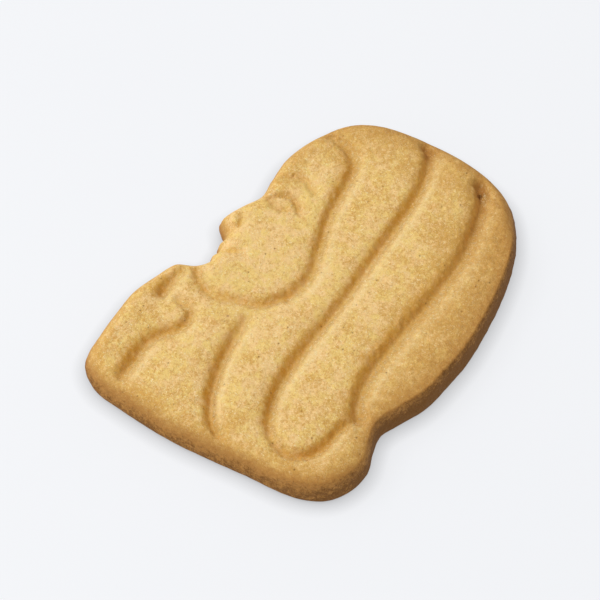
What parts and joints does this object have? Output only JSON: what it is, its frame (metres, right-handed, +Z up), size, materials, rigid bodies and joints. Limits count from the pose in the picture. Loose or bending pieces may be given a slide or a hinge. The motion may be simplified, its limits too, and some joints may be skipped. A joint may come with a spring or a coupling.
{
  "type": "butter cookie",
  "caption": "Flat pressed butter cookie shaped as a long-haired head and shoulder in profile, with the locks of hair, the arm and the face in shallow relief.",
  "frame": {"origin": "under the middle of the cookie's box, on its flat underside", "axes": "+Z up out of the pressed face, +Y towards the crown of the head, -X the way that the profile looks"},
  "size_m": [0.07, 0.0866, 0.0086],
  "materials": {
    "baked_dough": "dull, dry, fine-grained golden baked dough, darker brown on the rim and in the pressed lines"
  },
  "bodies": {
    "root": {"cookie": "baked_dough"}
  },
  "joints": []
}
